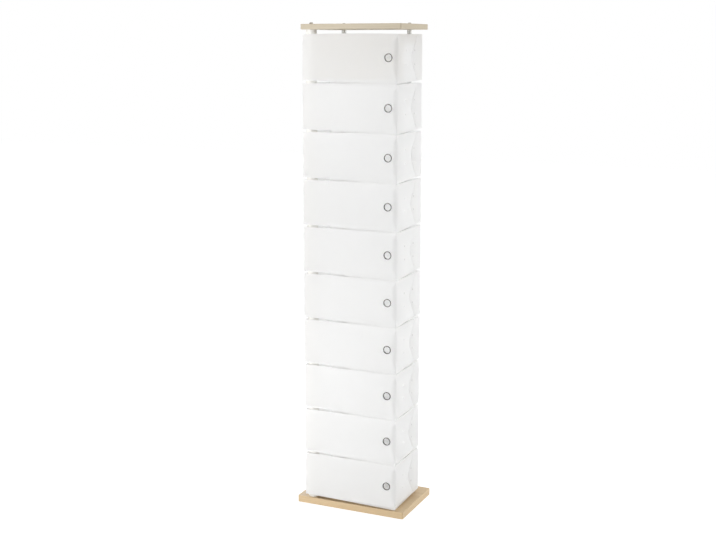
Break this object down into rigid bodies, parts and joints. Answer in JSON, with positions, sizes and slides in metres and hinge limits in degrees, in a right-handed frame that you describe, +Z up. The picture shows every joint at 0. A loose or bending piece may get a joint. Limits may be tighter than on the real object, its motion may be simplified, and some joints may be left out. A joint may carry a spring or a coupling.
{
  "type": "shoe drawer cabinet",
  "caption": "Tall free-standing stack of folded plastic shoe drawers that each swing out on one corner column, between a wood base board and a smaller wood top board.",
  "frame": {"origin": "middle of the base board's underside, on the floor", "axes": "+Z up, +X to the right along the drawer fronts, +Y to the back"},
  "size_m": [0.4, 0.2575, 1.6635],
  "materials": {
    "white_polypropylene": "frosted translucent sheet",
    "grey_nylon": "moulded",
    "nickel_plate": "polished",
    "rivet_metal": "plain",
    "birch": "clear matt lacquer",
    "steel_tube": "drawn",
    "rod_steel": "satin",
    "bolt_steel": "zinc plated"
  },
  "bodies": {
    "frame": {"base_board": "birch", "top_board": "birch", "pivot_column": "steel_tube", "column_plugs": "steel_tube", "rear_rod_left": "rod_steel", "rear_rod_right": "rod_steel", "base_bolts": "bolt_steel", "top_bolts": "bolt_steel", "base_washer": "grey_nylon", "top_spacer": "grey_nylon"},
    "drawer_01": {"drawer_01_band": "white_polypropylene", "drawer_01_tray": "white_polypropylene", "drawer_01_sleeve": "grey_nylon", "drawer_01_eyelet": "nickel_plate", "drawer_01_rivets": "rivet_metal"},
    "drawer_02": {"drawer_02_band": "white_polypropylene", "drawer_02_tray": "white_polypropylene", "drawer_02_sleeve": "grey_nylon", "drawer_02_eyelet": "nickel_plate", "drawer_02_rivets": "rivet_metal"},
    "drawer_03": {"drawer_03_band": "white_polypropylene", "drawer_03_tray": "white_polypropylene", "drawer_03_sleeve": "grey_nylon", "drawer_03_eyelet": "nickel_plate", "drawer_03_rivets": "rivet_metal"},
    "drawer_04": {"drawer_04_band": "white_polypropylene", "drawer_04_tray": "white_polypropylene", "drawer_04_sleeve": "grey_nylon", "drawer_04_eyelet": "nickel_plate", "drawer_04_rivets": "rivet_metal"},
    "drawer_05": {"drawer_05_band": "white_polypropylene", "drawer_05_tray": "white_polypropylene", "drawer_05_sleeve": "grey_nylon", "drawer_05_eyelet": "nickel_plate", "drawer_05_rivets": "rivet_metal"},
    "drawer_06": {"drawer_06_band": "white_polypropylene", "drawer_06_tray": "white_polypropylene", "drawer_06_sleeve": "grey_nylon", "drawer_06_eyelet": "nickel_plate", "drawer_06_rivets": "rivet_metal"},
    "drawer_07": {"drawer_07_band": "white_polypropylene", "drawer_07_tray": "white_polypropylene", "drawer_07_sleeve": "grey_nylon", "drawer_07_eyelet": "nickel_plate", "drawer_07_rivets": "rivet_metal"},
    "drawer_08": {"drawer_08_band": "white_polypropylene", "drawer_08_tray": "white_polypropylene", "drawer_08_sleeve": "grey_nylon", "drawer_08_eyelet": "nickel_plate", "drawer_08_rivets": "rivet_metal"},
    "drawer_09": {"drawer_09_band": "white_polypropylene", "drawer_09_tray": "white_polypropylene", "drawer_09_sleeve": "grey_nylon", "drawer_09_eyelet": "nickel_plate", "drawer_09_rivets": "rivet_metal"},
    "drawer_10": {"drawer_10_band": "white_polypropylene", "drawer_10_tray": "white_polypropylene", "drawer_10_sleeve": "grey_nylon", "drawer_10_eyelet": "nickel_plate", "drawer_10_rivets": "rivet_metal"}
  },
  "joints": [
    {"name": "drawer_01_swing", "type": "hinge", "parent": "frame", "child": "drawer_01", "pos_m": [-0.149, -0.1, 0], "axis": [0, 0, -1], "range_deg": [0, 180]},
    {"name": "drawer_02_swing", "type": "hinge", "parent": "frame", "child": "drawer_02", "pos_m": [-0.149, -0.1, 0], "axis": [0, 0, -1], "range_deg": [0, 180]},
    {"name": "drawer_03_swing", "type": "hinge", "parent": "frame", "child": "drawer_03", "pos_m": [-0.149, -0.1, 0], "axis": [0, 0, -1], "range_deg": [0, 180]},
    {"name": "drawer_04_swing", "type": "hinge", "parent": "frame", "child": "drawer_04", "pos_m": [-0.149, -0.1, 0], "axis": [0, 0, -1], "range_deg": [0, 180]},
    {"name": "drawer_05_swing", "type": "hinge", "parent": "frame", "child": "drawer_05", "pos_m": [-0.149, -0.1, 0], "axis": [0, 0, -1], "range_deg": [0, 180]},
    {"name": "drawer_06_swing", "type": "hinge", "parent": "frame", "child": "drawer_06", "pos_m": [-0.149, -0.1, 0], "axis": [0, 0, -1], "range_deg": [0, 180]},
    {"name": "drawer_07_swing", "type": "hinge", "parent": "frame", "child": "drawer_07", "pos_m": [-0.149, -0.1, 0], "axis": [0, 0, -1], "range_deg": [0, 180]},
    {"name": "drawer_08_swing", "type": "hinge", "parent": "frame", "child": "drawer_08", "pos_m": [-0.149, -0.1, 0], "axis": [0, 0, -1], "range_deg": [0, 180]},
    {"name": "drawer_09_swing", "type": "hinge", "parent": "frame", "child": "drawer_09", "pos_m": [-0.149, -0.1, 0], "axis": [0, 0, -1], "range_deg": [0, 180]},
    {"name": "drawer_10_swing", "type": "hinge", "parent": "frame", "child": "drawer_10", "pos_m": [-0.149, -0.1, 0], "axis": [0, 0, -1], "range_deg": [0, 180]}
  ]
}
